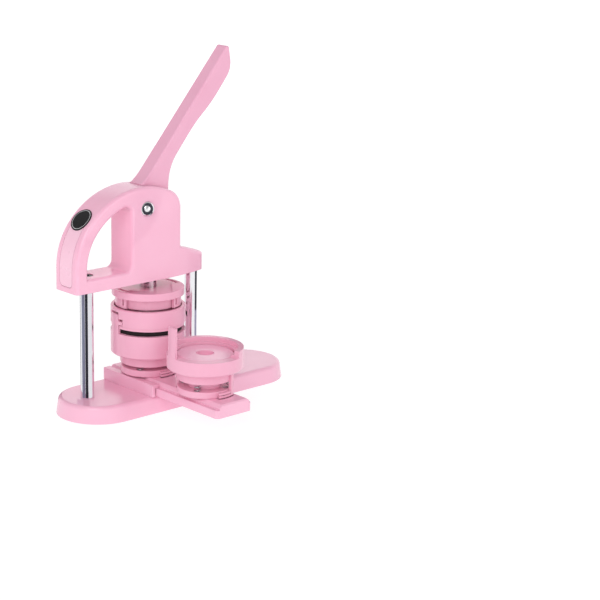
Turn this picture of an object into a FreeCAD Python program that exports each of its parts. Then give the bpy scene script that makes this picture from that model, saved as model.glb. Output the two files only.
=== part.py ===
"""Button badge maker: a lever press with a sliding tray that carries two badge dies.

Frame: millimetres, +Z up, origin on the table under the ram's axis, +X along the base
towards the side that the lever is pulled to, +Y across the base along the tray's slide.
"""
import FreeCAD
import Part
import math
import os

# Base and anti-slip mat
base_length = 292.0
base_width = 90.0
base_tail = 111.0            # ram axis to the base's left end
base_top = 18.5
base_lean = 2.6              # how far the sides lean in from foot to top
base_wall = 2.6              # at the top of the leaning sides
base_deck = 4.0
base_edge_radius = 4.5
base_rib = 2.5
mat_thickness = 2.0
mat_proud = 0.5              # mat below the shell's rim
mat_gap = 0.3

# Posts and their bolts
post_diameter = 14.0
left_post_x = -81.0
right_post_x = 59.0
post_base_seat = 9.0
post_head_seat = 6.0
post_boss_wall = 5.0
bolt_diameter = 8.0
bolt_head_diameter = 13.0
bolt_head_height = 4.5
bolt_grip = 20.0
bolt_floor = 3.0
bolt_head_room = 0.6
bolt_recess = 24.0           # counterbore over an upper bolt
hex_socket_width = 6.0
hex_socket_depth = 2.5

# Head: an arch with a hand window, the lever slot and the ram guide
head_height = 102.0
head_left = 107.0            # ram axis to the arch's outer face
head_thickness = 38.0
head_crown_x = -20.0
arch_rise = 79.0             # from where the arch leaves the vertical up to its crown
head_haunch_radius = 72.0
head_right = 31.5
head_corner_radius = 22.0
head_shoulder_height = 31.5
head_shoulder_slope = 18.4   # degrees
head_end_radius = 12.0
head_taper_start = 5.0
head_edge_radius = 4.0
arch_width = 14.5
window_right = -36.0
window_sill = 14.0
window_corner = 7.5
window_edge_radius = 3.5

# Cover strip and round label on the arch's outer face
strip_width = 20.8
strip_thickness = 2.0
strip_foot = 6.0             # head bottom to the strip's lower end
strip_corner = 5.0
strip_gap = 0.5
strip_tuck = 4.0             # degrees that the strip runs on past the label's middle
label_diameter = 26.0
label_thickness = 0.8
label_angle = 136.7          # round the crown's centre, from +X

# Lever, pivot and cam
pivot_drop = 23.7            # head's crown down to the pivot
pivot_offset = 15.5          # pivot to ram axis, and the cam's base radius
pivot_diameter = 10.0
pivot_head_diameter = 17.0
pivot_head_height = 5.5
pivot_nut_height = 5.0
hub_radius = 14.5
lever_bush_wall = 3.0
lever_thickness = 20.5
lever_tip_thickness = 16.5
lever_lean = 39.85           # degrees from the vertical
lever_reach = 164.3          # pivot up to where the top and end lines would meet
lever_neck_width = 17.2
lever_paddle_width = 21.9
lever_edge_radius = 1.8
lever_tip_corner = 2.6
lever_slot_clearance = 0.65
lever_crest = (12.5, 37.1)   # from the pivot, where the straight top begins
lever_root = (35.7, 20.7)
lever_neck = (0.20, 0.36)    # shares of the straight top's length
lever_belly = 0.70
lever_heel = 0.932
lever_heel_cut = 8.6
cam_lobe = (35.1, 5.7)
cam_cheek = (34.5, 0.9)
cam_foot_angle = -75.0       # degrees, where the hub runs into the cam
cam_lift = 14.0              # pivot to contact height at rest
cam_turn = 0.70              # radians of lever travel
cam_clearance = 0.2
cam_lead = 0.15              # radians of cam before and after its travel
cam_tail = 0.30
cam_heel_room = 5.5          # slot beyond the pivot for the cam's heel
slot_drop = 3.4              # slot floor under the ram's lowest top
slot_ramp = 18.0

# Ram, its bush and return spring
ram_diameter = 18.0
ram_clearance = 0.05
bush_wall = 3.0
bush_length = 29.0
bush_flange = 2.5
collar_rim = 0.9             # collar beyond the return spring
collar_height = 5.0
collar_drop = 10.2           # ram top to the collar's underside
collar_room = 1.0
clip_height = 1.4
clip_groove = 0.8
clip_rim = 2.5
clip_mouth = 40.0            # degrees
ram_tap_depth = 16.0
return_wire = 2.2
return_turns = 5

# Upper die
plate_inset = 1.2            # plate's rim inside the dies' outer face
plate_height = 8.0
press_opening = 11.5         # die A's ring to the plate at rest
ram_show = 10.0              # plate top to the head's bottom
plate_seat = 6.0
plate_recess_depth = 2.5
plate_recess_width = 3.6
plate_recess_half_angle = 16.0
skirt_play = 0.7             # skirt in the pressing ring's bore
skirt_wall = 3.0
skirt_height = 11.0
skirt_open_from = 190.0      # degrees, front opening in the skirt
skirt_open_to = 282.0
skirt_hook = 5.0             # degrees of wall left beyond each notch
skirt_notch = 4.0
skirt_toe = 3.0
cup_play = 0.7               # cup inside the skirt
cup_wall = 2.1
cup_height = 11.1
pusher_height = 3.2
pusher_web = 1.0
pusher_play = 0.3
die_screw_diameter = 6.0
die_screw_head = 11.0
die_screw_socket = 4.6       # across the hexagon's corners
die_screw_socket_depth = 1.4
screw_head_room = 0.4
screw_end_room = 2.0

# Guide rails and tray
rail_width = 58.0            # over both rails
rail_length = 85.0
rail_centre_y = -1.5
rail_height = 13.0
rail_wall = 3.6
lip_depth = 5.0
lip_thickness = 3.6
rail_edge_radius = 0.7
rail_screw_diameter = 2.0
rail_screw_inset = 14.5      # rail's end to its screw
rail_screw_head = 1.8
rail_roof = 3.0
tray_clearance = 0.4
tray_foot_gap = 1.5          # tray's foot to a rail's wall
tray_rise = 1.5              # tray top above the rails
tray_front_overhang = 47.5
tray_back_overhang = 40.0
tray_chamfer = 3.0
deck_bevel = 3.0
nose_bevel = 1.5
stop_pin_diameter = 6.0
stop_pin_x = 12.5
stop_pin_rise = 2.8
stop_groove_depth = 3.5
stop_play = 0.4

# Dies on the tray
die_diameter = 80.0
die_spacing = 14.5           # between the two dies
flange_rim = 2.5             # flange beyond the springs
flange_height = 7.0
neck_over = 1.0              # sleeve's neck beyond the flange
neck_height = 11.5
stem_diameter = 36.0
stem_clearance = 0.08
core_tap_depth = 14.0
core_screw_drop = 4.5        # tray's underside up to the screw head's top
core_screw_head = 3.5
sleeve_floor = 4.5
core_gap = 0.5
gap_a = 4.0                  # spring gap under die A at rest
gap_b = 8.0
sleeve_a_height = 25.0
sleeve_b_height = 22.0
core_a_play = 0.8            # core inside the upper die's cup
core_a_drop = 10.0           # ring top to the core's crown
core_a_crown = 1.5
core_b_play = 0.8            # core in its sleeve
core_b_drop = 7.1            # sleeve top to the core's face
core_b_hole = 18.6
core_b_hole_depth = 6.5
die_b_open_from = 110.0      # degrees, low front half of die B's rim
die_b_open_to = 290.0
sleeve_wall = 9.8
well_wall = 5.5
well_depth = 4.7
tab_angle = 168.3            # degrees, middle of a die's guide tab
tab_half_angle = 11.0
tab_wall = 3.0
tab_root = 2.0
tab_a_height = 20.7
tab_b_height = 25.0
barb_angle = 9.0             # beyond the tab's edge
barb_drop = 6.9
barb_height = 3.8
hook_angle = 290.0
hook_width = 5.0
hook_wall = 3.0
hook_gap = 0.7
hook_sweep = 33.0            # degrees that a hook's foot runs back from its leg
lug_height = 3.2

# Die A's pressing ring
ring_gap = 5.5
ring_height = 21.5
ring_wall = 4.1
ring_ledge_height = 10.5
ring_step = 1.0
ring_step_height = 3.3
ring_travel = 2.0
ring_play = 0.6
ring_spring_wall = 5.0       # rubber ring that springs the pressing ring
ring_spring_gap = 0.6

# Die springs
spring_room = 1.5            # stem to the springs
spring_start_angle = 30.0
spring_count = 4
spring_wire = 1.2
spring_diameter = 7.0
spring_pocket_clearance = 0.3
spring_seat_depth = 4.0
spring_roof_depth = 8.0
spring_pitch = 4.0

die_edge = 0.8               # small roundings and bevels on the dies
sleeve_edge = 1.2
fit = 0.05                   # radial clearance of pieces that are fixed together
over = 1.0                   # how far a cutter runs past a face

# Values that follow
rail_screw_pitch = rail_length - 2 * rail_screw_inset
collar_diameter = ram_diameter + 2 * bush_wall + return_wire + 2 * collar_rim
die_pitch = die_diameter + die_spacing
sleeve_bore = die_diameter - 2 * sleeve_wall
well_diameter = die_diameter - 2 * well_wall
ring_bore = die_diameter - 2 * ring_wall
plate_diameter = die_diameter - 2 * plate_inset
skirt_diameter = ring_bore - 2 * skirt_play
cup_diameter = skirt_diameter - 2 * (skirt_wall + cup_play)
core_a_diameter = cup_diameter - 2 * (cup_wall + core_a_play)
core_b_diameter = sleeve_bore - 2 * core_b_play
spring_circle = stem_diameter + spring_diameter + 2 * spring_room
flange_diameter = spring_circle + spring_diameter + 2 * flange_rim
neck_diameter = flange_diameter + 2 * neck_over
half_base = base_width / 2.0
base_right = base_length - base_tail
deck_bottom = base_top - base_deck
base_rim = base_lean + base_wall
rail_top = base_top + rail_height
lip_bottom = rail_top - lip_thickness
half_rails = rail_width / 2.0
tray_bottom = base_top + tray_clearance
tray_shelf = lip_bottom - tray_clearance
tray_top = rail_top + tray_rise
half_tray_foot = half_rails - rail_wall - tray_foot_gap
half_tray_top = half_rails - rail_wall - lip_depth - tray_clearance
flange_top = tray_top + flange_height
lug_bottom = flange_top - lug_height
hook_inner = flange_diameter / 2.0 + hook_gap
hook_outer = hook_inner + hook_wall
hook_half_angle = math.degrees(hook_width / 2.0 / hook_outer)
hook_play_angle = math.degrees(hook_gap / hook_inner)
hook_bottom = tray_top + hook_gap
die_b_y = -die_pitch
sleeve_a_top = flange_top + gap_a + neck_height + sleeve_a_height
sleeve_b_top = flange_top + gap_b + neck_height + sleeve_b_height
ring_bottom = sleeve_a_top + ring_gap
ring_top = ring_bottom + ring_height
core_a_top = ring_top - core_a_drop
core_b_top = sleeve_b_top - core_b_drop
tab_a_top = sleeve_a_top + tab_a_height
tab_b_top = sleeve_b_top + tab_b_height
plate_bottom = ring_top + press_opening
plate_top = plate_bottom + plate_height
head_bottom = plate_top + ram_show
half_head = head_thickness / 2.0
head_upright = head_height - arch_rise
head_crown_z = head_bottom + head_height
head_spring_z = head_bottom + head_upright
head_shoulder_z = head_bottom + head_shoulder_height
window_floor = head_bottom + window_sill
strip_foot_z = head_bottom + strip_foot
pivot_height = head_height - pivot_drop
pivot_x = -pivot_offset
pivot_z = head_bottom + pivot_height
lever_tip_z = pivot_z + lever_reach
ram_radius = ram_diameter / 2.0
ram_top = pivot_z - cam_lift - cam_clearance
stroke = pivot_offset * cam_turn


def vec(x, y, z):
    return FreeCAD.Vector(x, y, z)


def polar(radius, degrees, z=0.0):
    angle = math.radians(degrees)
    return vec(radius * math.cos(angle), radius * math.sin(angle), z)


def rod(radius, z_low, z_high, x=0.0, y=0.0):
    return Part.makeCylinder(radius, z_high - z_low, vec(x, y, z_low))


def cross_rod(radius, y_low, y_high, x, z):
    return Part.makeCylinder(radius, y_high - y_low, vec(x, y_low, z), vec(0, 1, 0))


def tube(outer, inner, z_low, z_high):
    return rod(outer, z_low, z_high).cut(rod(inner, z_low, z_high))


def block(x_low, x_high, y_low, y_high, z_low, z_high):
    return Part.makeBox(x_high - x_low, y_high - y_low, z_high - z_low, vec(x_low, y_low, z_low))


def line(start, end):
    return Part.LineSegment(start, end).toShape()


def arc(start, middle, end):
    return Part.Arc(start, middle, end).toShape()


def biarc(start, start_way, end, end_way):
    """Two arcs that join two points and keep both directions."""
    span = end.sub(start)
    ways = start_way.add(end_way)
    a = 2.0 * (start_way.dot(end_way) - 1.0)
    b = -2.0 * span.dot(ways)
    c = span.dot(span)
    parallel = abs(a) < 1e-9
    reach = -c / b if parallel else (-b - math.sqrt(b * b - 4.0 * a * c)) / (2.0 * a)
    first = start.add(vec(*start_way).multiply(reach))
    last = end.sub(vec(*end_way).multiply(reach))
    joint = first.add(last).multiply(0.5)
    edges = []
    for p, q, r in ((start, first, joint), (joint, last, end)):
        chord_middle = p.add(r).multiply(0.5)
        half_chord = chord_middle.sub(p).Length
        rise = q.sub(chord_middle)
        angle = math.acos(min(1.0, half_chord / q.sub(p).Length))
        middle = chord_middle.add(vec(*rise).multiply(half_chord * math.tan(angle / 2) / rise.Length))
        edges.append(arc(p, middle, r))
    return edges


def prism(edges, direction):
    """Push the face inside a closed run of edges along a direction."""
    return Part.Face(Part.Wire(edges)).extrude(direction)


def polygon(points):
    closed = points + [points[0]]
    return [line(a, b) for a, b in zip(closed, closed[1:])]


def sector(outer, inner, start, end, z_low, z_high):
    """A wedge of a tube between two angles in degrees."""
    middle = (start + end) / 2.0
    edges = [
        arc(polar(outer, start, z_low), polar(outer, middle, z_low), polar(outer, end, z_low)),
        line(polar(outer, end, z_low), polar(inner, end, z_low)),
        arc(polar(inner, end, z_low), polar(inner, middle, z_low), polar(inner, start, z_low)),
        line(polar(inner, start, z_low), polar(outer, start, z_low)),
    ]
    return prism(edges, vec(0, 0, z_high - z_low))


def revolve(points):
    """Turn a closed outline of (radius, z) points about the Z axis."""
    edges = polygon([vec(radius, 0, z) for radius, z in points])
    return Part.Face(Part.Wire(edges)).revolve(vec(0, 0, 0), vec(0, 0, 1), 360)


def fuse(shapes):
    return shapes[0].multiFuse(shapes[1:]).removeSplitter() if len(shapes) > 1 else shapes[0]


def cut(shape, tools):
    return shape.cut(Part.makeCompound(tools)) if tools else shape


def shifted(shape, x=0.0, y=0.0, z=0.0):
    copy = shape.copy()
    copy.translate(vec(x, y, z))
    return copy


def turned(shape, degrees):
    copy = shape.copy()
    copy.rotate(vec(0, 0, 0), vec(0, 0, 1), degrees)
    return copy


def opposite(degrees):
    return degrees, degrees + 180.0


def hexagon(across_corners):
    return polygon([polar(across_corners / 2, 60.0 * k) for k in range(6)])


def at_die_b(shape):
    return shifted(shape, y=die_b_y)


def fillet_where(shape, radius, test):
    """Round every edge whose middle point passes a test."""
    edges = []
    for edge in shape.Edges:
        middle = edge.valueAt((edge.FirstParameter + edge.LastParameter) / 2.0)
        if test(edge, middle):
            edges.append(edge)
    return shape.makeFillet(radius, edges)


def is_side_rim(shape, edge, p):
    """True where one of the edge's two faces looks along Y and the other does not."""
    faces = shape.ancestorsOfType(edge, Part.Face)
    sideways = [abs(face.normalAt(*face.Surface.parameter(p)).y) > 0.9 for face in faces]
    return any(sideways) and not all(sideways)


def stadium(inset, z_low, z_high):
    """The base's outline, a bar with two half-round ends, drawn in by an inset."""
    half = half_base - inset
    left = -base_tail + half_base
    right = base_right - half_base
    edges = [
        line(vec(left, -half, z_low), vec(right, -half, z_low)),
        arc(vec(right, -half, z_low), vec(right + half, 0, z_low), vec(right, half, z_low)),
        line(vec(right, half, z_low), vec(left, half, z_low)),
        arc(vec(left, half, z_low), vec(left - half, 0, z_low), vec(left, -half, z_low)),
    ]
    return prism(edges, vec(0, 0, z_high - z_low))


def leaning_stadium(z_low, z_high):
    """The base's outer form: the same outline with sides that lean in towards the top."""
    left = -base_tail + half_base
    right = base_right - half_base
    end = Part.makeCone(half_base, half_base - base_lean, z_high - z_low, vec(0, 0, z_low))
    middle = prism(polygon([
        vec(left, -half_base, z_low),
        vec(left, half_base, z_low),
        vec(left, half_base - base_lean, z_high),
        vec(left, base_lean - half_base, z_high),
    ]), vec(right - left, 0, 0))
    return fuse([middle, shifted(end, x=left), shifted(turned(end, 180.0), x=right)])


rail_screw_places = [
    (side * (half_rails - rail_wall / 2.0), rail_centre_y + end * rail_screw_pitch / 2.0)
    for side in (-1, 1)
    for end in (-1, 1)
]


def base_shell():
    """Moulded base: a shell open below, with ribs, post bosses and screw holes."""
    outside = leaning_stadium(mat_proud, base_top)
    outside = fillet_where(outside, base_edge_radius, lambda edge, p: abs(p.z - base_top) < 0.01)
    hollow = stadium(base_rim, mat_proud - over, deck_bottom)
    keep = [block(-base_tail, base_right, -base_rib / 2, base_rib / 2, mat_thickness, deck_bottom)]
    boss_radius = post_diameter / 2 + post_boss_wall
    for x in (left_post_x, right_post_x):
        keep.append(rod(boss_radius, mat_thickness, deck_bottom, x))
    rib_steps = 6
    for step in range(1, rib_steps):
        x = -base_tail + base_length * step / rib_steps
        rib = block(x - base_rib / 2, x + base_rib / 2, -half_base, half_base, mat_thickness, deck_bottom)
        keep.append(rib)
    hollow = hollow.cut(fuse(keep))
    shell = outside.cut(hollow)
    tools = []
    seat = base_top - post_base_seat
    for x in (left_post_x, right_post_x):
        tools.append(rod(post_diameter / 2 + fit, seat, base_top + over, x))
        tools.append(rod(bolt_diameter / 2 + fit, 0, seat + over, x))
        tools.append(rod(bolt_head_diameter / 2 + bolt_head_room, 0, seat - bolt_floor, x))
    for x, y in rail_screw_places:
        tools.append(rod(rail_screw_diameter / 2 + fit, deck_bottom - over, base_top + over, x, y))
        tools.append(rod(rail_screw_diameter + screw_head_room, 0, deck_bottom, x, y))
    tools.append(rod(stop_pin_diameter / 2 + fit, deck_bottom, base_top + over, stop_pin_x))
    return cut(shell, tools)


def anti_slip_mat():
    return stadium(base_rim + mat_gap, 0.0, mat_thickness)


def post(x):
    """Plated post with a tapped hole in each end."""
    low = base_top - post_base_seat
    high = head_bottom + post_head_seat
    hole = bolt_diameter / 2 + fit
    body = rod(post_diameter / 2, low, high, x)
    ends = [rod(hole, low - over, low + bolt_grip, x), rod(hole, high - bolt_grip, high + over, x)]
    return cut(body, ends)


def socket_bolt(x, shoulder, direction):
    """Cap screw whose head sits on the shoulder and whose shank runs the other way."""
    shank_end = shoulder - direction * (bolt_floor + bolt_grip - over)
    head_end = shoulder + direction * bolt_head_height
    shank = rod(bolt_diameter / 2, min(shoulder, shank_end), max(shoulder, shank_end), x)
    head = rod(bolt_head_diameter / 2, min(shoulder, head_end), max(shoulder, head_end), x)
    across_corners = 2.0 * hex_socket_width / math.sqrt(3.0)
    pocket = prism(hexagon(across_corners), vec(0, 0, -direction * hex_socket_depth))
    return fuse([shank, head]).cut(shifted(pocket, x, 0, head_end))


def lower_post_bolts():
    shoulder = base_top - post_base_seat - bolt_floor
    return [socket_bolt(x, shoulder, -1) for x in (left_post_x, right_post_x)]


def upper_post_bolts():
    shoulder = head_bottom + post_head_seat + bolt_floor
    return [socket_bolt(x, shoulder, 1) for x in (left_post_x, right_post_x)]


def arch_centres():
    """Centres and radii of the two arcs that carry the arch from upright to crown."""
    rise = head_crown_z - head_spring_z
    span = head_crown_x + head_left
    small = head_haunch_radius
    large = ((small - span) ** 2 + rise ** 2 - small ** 2) / (2.0 * (rise - small))
    haunch = vec(-head_left + small, 0, head_spring_z)
    crown = vec(head_crown_x, 0, head_crown_z - large)
    return haunch, small, crown, large


def arch_joint():
    """Angle in degrees at which the haunch's arc runs into the crown's."""
    haunch, small, crown, large = arch_centres()
    return math.degrees(math.atan2(haunch.z - crown.z, haunch.x - crown.x))


def on_arch(offset, degrees):
    """A point on the arch, an offset inside (negative) or outside its outer face."""
    haunch, small, crown, large = arch_centres()
    angle = math.radians(degrees)
    centre, radius = (haunch, small) if degrees > arch_joint() else (crown, large)
    reach = radius + offset
    return vec(centre.x + reach * math.cos(angle), 0, centre.z + reach * math.sin(angle))


def arch_edges(offset, end_angle, foot_z):
    """Edges of a curve parallel to the arch's outer face, from its foot to an angle."""
    joint = arch_joint()
    foot = vec(-head_left - offset, 0, foot_z)
    spring = vec(-head_left - offset, 0, head_spring_z)
    turn = on_arch(offset, joint + 0.0001)
    middle = on_arch(offset, (180.0 + joint) / 2.0)
    end = on_arch(offset, end_angle)
    crown_middle = on_arch(offset, (joint + end_angle) / 2.0)
    return [line(foot, spring), arc(spring, middle, turn), arc(turn, crown_middle, end)]


def arch_band(inner, outer, end_angle, foot_z, half_width):
    """A curved plate that follows the arch between two offsets from its outer face."""
    back = arch_edges(outer, end_angle, foot_z)
    front = arch_edges(inner, end_angle, foot_z)
    ends = [line(on_arch(outer, end_angle), on_arch(inner, end_angle))]
    ends.append(line(vec(-head_left - inner, 0, foot_z), vec(-head_left - outer, 0, foot_z)))
    plate = prism(Part.__sortEdges__(back + front + ends), vec(0, 2 * half_width, 0))
    return shifted(plate, y=-half_width)


def head_outline():
    """Side outline of the head: arch, crown, right wall and sloping shoulder."""
    crown, large = arch_centres()[2:]
    reach = large - head_corner_radius
    corner_x = head_right - head_corner_radius
    corner = vec(corner_x, 0, crown.z + math.sqrt(reach ** 2 - (corner_x - crown.x) ** 2))
    start_angle = math.degrees(math.atan2(corner.z - crown.z, corner.x - crown.x))
    edges = arch_edges(0.0, start_angle, head_bottom)
    top = on_arch(0.0, start_angle)
    half_angle = math.radians(start_angle / 2.0)
    bulge = vec(math.cos(half_angle), 0, math.sin(half_angle)).multiply(head_corner_radius)
    wall_top = vec(head_right, 0, corner.z)
    edges.append(arc(top, corner.add(bulge), wall_top))
    far = right_post_x + 2 * head_end_radius
    drop = (far - head_right) * math.tan(math.radians(head_shoulder_slope))
    corners = [
        wall_top,
        vec(head_right, 0, head_shoulder_z),
        vec(far, 0, head_shoulder_z - drop),
        vec(far, 0, head_bottom),
        vec(-head_left, 0, head_bottom),
    ]
    return edges + [line(a, b) for a, b in zip(corners, corners[1:])]


def head_plan():
    """Plan outline of the head: parallel sides that narrow to a round end at the right post."""
    run = right_post_x - head_taper_start
    side = (run ** 2 + half_head ** 2 - head_end_radius ** 2) / (2.0 * (half_head - head_end_radius))
    lean = math.atan2(run, side - half_head)
    edges = []
    ends = []
    for way in (-1, 1):
        centre = vec(head_taper_start, -way * (side - half_head), 0)
        start = vec(head_taper_start, way * half_head, 0)
        middle = centre.add(vec(side * math.sin(lean / 2), way * side * math.cos(lean / 2), 0))
        end = centre.add(vec(side * math.sin(lean), way * side * math.cos(lean), 0))
        edges.append(line(vec(-head_left - over, way * half_head, 0), start))
        edges.append(arc(start, middle, end))
        ends.append(end)
    edges.append(arc(ends[0], vec(right_post_x + head_end_radius, 0, 0), ends[1]))
    edges.append(line(vec(-head_left - over, -half_head, 0), vec(-head_left - over, half_head, 0)))
    return prism(Part.__sortEdges__(edges), vec(0, 0, head_crown_z + over))


def window_prism():
    """The hand window: its outer side runs parallel to the arch, its right side is upright."""
    crown, large = arch_centres()[2:]
    inner = large - arch_width
    reach = inner - window_corner
    corner_x = window_right - window_corner
    corner = vec(corner_x, 0, crown.z + math.sqrt(reach ** 2 - (corner_x - crown.x) ** 2))
    top_angle = math.degrees(math.atan2(corner.z - crown.z, corner.x - crown.x))
    edges = arch_edges(-arch_width, top_angle, window_floor)
    half_angle = math.radians(top_angle / 2.0)
    bulge = vec(math.cos(half_angle), 0, math.sin(half_angle)).multiply(window_corner)
    wall_top = vec(window_right, 0, corner.z)
    edges.append(arc(on_arch(-arch_width, top_angle), corner.add(bulge), wall_top))
    low = window_floor + window_corner
    edges.append(line(wall_top, vec(window_right, 0, low)))
    inset = window_corner * (1.0 - math.sqrt(0.5))
    knee = vec(window_right - inset, 0, window_floor + inset)
    heel = vec(window_right - window_corner, 0, window_floor)
    edges.append(arc(vec(window_right, 0, low), knee, heel))
    edges.append(line(heel, vec(-head_left + arch_width, 0, window_floor)))
    return shifted(prism(edges, vec(0, 3 * half_head, 0)), y=-1.5 * half_head)


def lever_slot():
    """Slot for the lever: round at the hub, open at the crown and at the right wall."""
    room = hub_radius + lever_slot_clearance
    heel_z = pivot_z - math.sqrt(room ** 2 - cam_heel_room ** 2)
    mouth = 2.0
    left = pivot_x - mouth
    top_z = pivot_z + math.sqrt(room ** 2 - mouth ** 2)
    floor_z = ram_top - stroke - slot_drop
    outer = head_right + 30.0
    high = head_crown_z + 20.0
    ramp_x = collar_diameter / 2 + 2 * collar_room
    corners = [
        vec(pivot_x - cam_heel_room, 0, heel_z),
        vec(pivot_x - cam_heel_room, 0, floor_z),
        vec(ramp_x, 0, floor_z),
        vec(ramp_x + slot_ramp, 0, floor_z + slot_ramp),
        vec(outer, 0, floor_z + slot_ramp),
        vec(outer, 0, high),
        vec(left, 0, high),
        vec(left, 0, top_z),
    ]
    edges = [line(a, b) for a, b in zip(corners, corners[1:])]
    edges.append(arc(corners[-1], vec(pivot_x - room, 0, pivot_z), corners[0]))
    width = lever_thickness + 2 * lever_slot_clearance
    return shifted(prism(edges, vec(0, width, 0)), y=-width / 2)


def strip_solid(gap):
    """The cover strip's body, or its recess when a gap is added all round."""
    half = strip_width / 2 + gap
    foot = strip_foot_z - gap
    band = arch_band(-strip_thickness - gap, gap, label_angle - strip_tuck, foot, half)
    radius = strip_corner + gap

    def foot_corner(edge, p):
        return abs(abs(p.y) - half) < 0.01 and abs(p.z - foot) < 0.01

    return fillet_where(band, radius, foot_corner)


def head_body():
    """Moulded head that carries the lever, guides the ram and caps both posts."""
    profile = shifted(prism(head_outline(), vec(0, 3 * half_head, 0)), y=-1.5 * half_head)
    body = profile.common(head_plan())

    def outer_rim(edge, p):
        return p.z > head_bottom + 0.1 and is_side_rim(body, edge, p)

    body = fillet_where(body, head_edge_radius, outer_rim)
    body = body.cut(window_prism())

    def window_rim(edge, p):
        inside = -head_left + 5 < p.x < window_right + 0.5 and window_floor - 0.5 < p.z < head_crown_z - 10
        return inside and abs(abs(p.y) - half_head) < 0.01

    body = fillet_where(body, window_edge_radius, window_rim)
    seat = head_bottom + post_head_seat
    shoulder = seat + bolt_floor
    tools = [lever_slot(), strip_solid(strip_gap)]
    for x in (left_post_x, right_post_x):
        tools.append(rod(post_diameter / 2 + fit, head_bottom - over, seat, x))
        tools.append(rod(bolt_diameter / 2 + fit, seat - over, shoulder + over, x))
        tools.append(rod(bolt_head_diameter / 2 + bolt_head_room, shoulder, shoulder + bolt_recess, x))
    tools.append(cross_rod(pivot_diameter / 2 + fit, -half_head - over, half_head + over, pivot_x, pivot_z))
    bush_top = head_bottom + bush_length
    bush_radius = ram_radius + bush_wall
    flange_radius = bush_radius + bush_flange + fit
    tools.append(rod(bush_radius + fit, head_bottom - over, bush_top + over))
    tools.append(rod(flange_radius, head_bottom - over, head_bottom + bush_flange + fit))
    tools.append(rod(collar_diameter / 2 + collar_room, bush_top, ram_top + over))
    return cut(body, tools)


def arch_cover_strip():
    return strip_solid(0.0)


def round_label():
    """Thin round label that follows the arch's curve."""
    sheet_turn = 30.0            # degrees of sheet past the label's middle
    punch_depth = 10.0
    sheet = arch_band(0.0, label_thickness, label_angle - sheet_turn, strip_foot_z, label_diameter)
    centre = on_arch(-punch_depth, label_angle)
    normal = vec(math.cos(math.radians(label_angle)), 0, math.sin(math.radians(label_angle)))
    return sheet.common(Part.makeCylinder(label_diameter / 2, 2 * punch_depth, centre, normal))


def ram_bush():
    """Flanged bush pressed into the head from below."""
    inner = ram_radius + ram_clearance
    outer = ram_radius + bush_wall
    return revolve([
        (inner, head_bottom),
        (outer + bush_flange, head_bottom),
        (outer + bush_flange, head_bottom + bush_flange),
        (outer, head_bottom + bush_flange),
        (outer, head_bottom + bush_length),
        (inner, head_bottom + bush_length),
    ])


def dome(radius, height, y, way):
    """A domed cap standing on an upright face at y, bulging along Y."""
    ball = (radius ** 2 + height ** 2) / (2.0 * height)
    sphere = Part.makeSphere(ball, vec(pivot_x, y + way * (height - ball), pivot_z))
    low, high = sorted((y, y + way * height * 2))
    return sphere.common(cross_rod(radius + 1, low, high, pivot_x, pivot_z))


def pivot_bolt():
    shank = cross_rod(pivot_diameter / 2, -half_head, half_head, pivot_x, pivot_z)
    head = dome(pivot_head_diameter / 2, pivot_head_height, -half_head, -1)
    return fuse([shank, head])


def pivot_cap_nut():
    return dome(pivot_head_diameter / 2, pivot_nut_height, half_head, 1)


def involute(turn):
    """Cam point that meets the ram when the lever has turned by an angle in radians."""
    reach = cam_lift + pivot_offset * turn
    x = pivot_offset * math.cos(turn) + reach * math.sin(turn)
    z = pivot_offset * math.sin(turn) - reach * math.cos(turn)
    return vec(pivot_x + x, 0, pivot_z + z)


def curve(points):
    spline = Part.BSplineCurve()
    spline.interpolate(points)
    return spline.toShape()


def tangent_arc(start, way, end):
    """An arc that leaves its start in a given direction."""
    chord = end.sub(start)
    half = chord.Length / 2.0
    chord.normalize()
    side = way.sub(vec(*chord).multiply(way.dot(chord)))
    bulge = half * math.tan(math.acos(way.dot(chord)) / 2.0)
    middle = start.add(end).multiply(0.5).add(side.normalize().multiply(bulge))
    return arc(start, middle, end)


def lever_outline():
    """Side outline of the lever: hub, involute cam, bellied underside, tip and straight top."""
    lean = math.radians(lever_lean)
    along = vec(math.sin(lean), 0, math.cos(lean))
    across = vec(math.cos(lean), 0, -math.sin(lean))

    def from_pivot(x, z):
        return vec(pivot_x + x, 0, pivot_z + z)

    top_start = from_pivot(*lever_crest)
    length = (lever_tip_z - top_start.z) / along.z
    tip = top_start.add(vec(along.x * length, 0, along.z * length))

    def under(share, width):
        step = length * share
        foot = top_start.add(vec(along.x * step, 0, along.z * step))
        return foot.add(vec(across.x * width, 0, across.z * width))

    cam_count = 6
    cam_span = cam_lead + cam_turn + cam_tail
    cam = [involute(cam_span * k / cam_count - cam_lead) for k in range(cam_count + 1)]
    hub_angle = math.radians(cam_foot_angle)
    hub_end = from_pivot(hub_radius * math.cos(hub_angle), hub_radius * math.sin(hub_angle))
    back = 1.0
    hub_start = from_pivot(-back, math.sqrt(hub_radius ** 2 - back ** 2))
    crown_edge = vec(hub_start.x, 0, head_crown_z + back)
    lobe = from_pivot(*cam_lobe)
    root = from_pivot(*lever_root)
    neck = under(lever_neck[0], lever_neck_width)
    waist = under(lever_neck[1], lever_neck_width)
    belly = under(lever_belly, lever_paddle_width)
    heel = under(lever_heel, lever_paddle_width - lever_heel_cut)
    rise = root.sub(lobe).normalize()
    end = tip.sub(heel).normalize()
    edges = [
        line(hub_end, cam[0]),
        curve(cam),
        arc(cam[-1], from_pivot(*cam_cheek), lobe),
        line(lobe, root),
    ]
    edges += biarc(root, rise, neck, along)
    edges.append(line(neck, waist))
    edges += biarc(waist, along, belly, along)
    edges += biarc(belly, along, heel, end)
    edges += [
        line(heel, tip),
        line(tip, top_start),
        tangent_arc(top_start, vec(-along.x, 0, -along.z), crown_edge),
        line(crown_edge, hub_start),
        arc(hub_start, from_pivot(-hub_radius, 0), hub_end),
    ]
    return edges


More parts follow.
